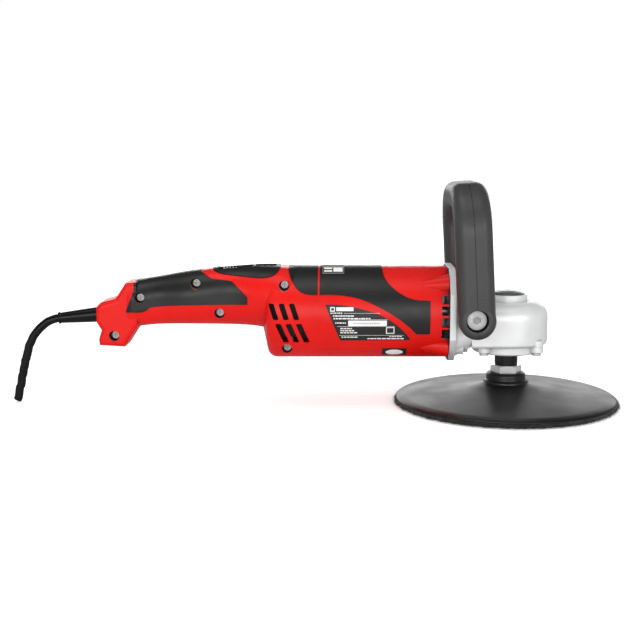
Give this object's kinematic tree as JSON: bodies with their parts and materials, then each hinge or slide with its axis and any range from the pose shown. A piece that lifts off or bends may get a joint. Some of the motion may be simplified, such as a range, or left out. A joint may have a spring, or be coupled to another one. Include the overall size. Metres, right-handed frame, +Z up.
{
  "type": "rotary polisher",
  "caption": "Corded rotary polisher with a clamshell rear handle, round motor barrel, right-angle gear head, hoop handle and a rubber backing pad with hook face.",
  "frame": {"origin": "centre of the backing pad's working face", "axes": "+Z up along the spindle, +X from the motor towards the gear head's nose, -Y the side with the shell screws"},
  "size_m": [0.4986, 0.182, 0.1812],
  "materials": {
    "red_casing": "satin",
    "soft_grip": "matt",
    "black_plastic": "satin",
    "hoop_plastic": "satin",
    "cast_head": "satin",
    "screw_steel": "bright",
    "gear_steel": "ground",
    "bearing_steel": "ground",
    "lamination": "matt",
    "copper": "satin",
    "bronze": "satin",
    "carbon": "matt",
    "blackened_steel": "satin",
    "plated_steel": "bright",
    "button_metal": "satin",
    "pad_rubber": "satin",
    "hook_fabric": "fuzzy",
    "cable_rubber": "satin",
    "board": "satin",
    "capacitor_film": "gloss",
    "plate_print": "matt",
    "sticker_film": "gloss"
  },
  "bodies": {
    "motor_body": {"air_baffle": "black_plastic", "bearing_cover": "cast_head", "brush_holders": "black_plastic", "brush_springs": "gear_steel", "cable_clamp": "black_plastic", "cable_clamp_screws": "screw_steel", "carbon_brushes": "carbon", "case_gasket": "cable_rubber", "case_screws": "screw_steel", "control_board": "black_plastic", "cover_screws": "screw_steel", "field_coils": "copper", "front_bearing_outer": "bearing_steel", "gear_housing": "cast_head", "handle_bolts": "screw_steel", "handle_grip_left": "soft_grip", "handle_grip_right": "soft_grip", "handle_inserts": "gear_steel", "handle_shell_left": "red_casing", "handle_shell_right": "red_casing", "lead_wires": "copper", "lock_spring": "gear_steel", "lower_bearing_outer": "bearing_steel", "motor_grip": "soft_grip", "motor_housing": "red_casing", "power_cable": "cable_rubber", "power_switch": "black_plastic", "rating_plate": "plate_print", "rear_bearing_outer": "bearing_steel", "rear_grip_left": "soft_grip", "rear_grip_right": "soft_grip", "shell_screws": "screw_steel", "side_sticker": "plate_print", "speed_potentiometer": "board", "spindle_bush": "bronze", "spindle_seal": "cable_rubber", "stator_core": "lamination", "strain_relief": "cable_rubber", "suppression_capacitor": "capacitor_film", "switch_bezel": "black_plastic", "top_label": "sticker_film"},
    "armature": {"armature_shaft": "gear_steel", "armature_core": "lamination", "armature_windings": "copper", "commutator": "copper", "cooling_fan": "black_plastic", "rear_bearing_inner": "bearing_steel", "front_bearing_inner": "bearing_steel", "drive_pinion": "gear_steel"},
    "spindle": {"spindle": "blackened_steel", "crown_gear": "gear_steel", "lower_bearing_inner": "bearing_steel", "pad_insert": "plated_steel", "backing_pad": "pad_rubber", "hook_pad": "hook_fabric"},
    "hoop_handle": {"hoop_handle_front": "hoop_plastic", "hoop_handle_rear": "hoop_plastic"},
    "switch_slider": {"switch_slider": "black_plastic"},
    "speed_dial": {"speed_dial": "black_plastic"},
    "lock_button": {"lock_button": "button_metal"}
  },
  "joints": [
    {"name": "spindle_spin", "type": "hinge", "parent": "motor_body", "child": "spindle", "pos_m": [0, 0, 0.051], "axis": [0, 0, 1], "continuous": true},
    {"name": "armature_spin", "type": "hinge", "parent": "motor_body", "child": "armature", "pos_m": [-0.1, 0, 0.076], "axis": [1, 0, 0], "continuous": true},
    {"name": "hoop_tilt", "type": "hinge", "parent": "motor_body", "child": "hoop_handle", "pos_m": [-0.0305, 0, 0.076], "axis": [0, 1, 0], "range_deg": [-30, 30]},
    {"name": "switch_slide", "type": "slide", "parent": "motor_body", "child": "switch_slider", "axis": [1, 0, 0], "range_m": [0, 0.008]},
    {"name": "speed_dial_turn", "type": "hinge", "parent": "motor_body", "child": "speed_dial", "pos_m": [-0.196, 0, 0.1053], "axis": [0, 1, 0], "range_deg": [0, 270]},
    {"name": "lock_press", "type": "slide", "parent": "motor_body", "child": "lock_button", "axis": [0, 0, -1], "range_m": [0, 0.003], "stiffness_N_per_m": 400, "springref_m": -0.002, "deforming": ["lock_spring"]}
  ],
  "couplings": [
    {"joint": "armature_spin", "follows": "spindle_spin", "ratio": -3.8}
  ]
}
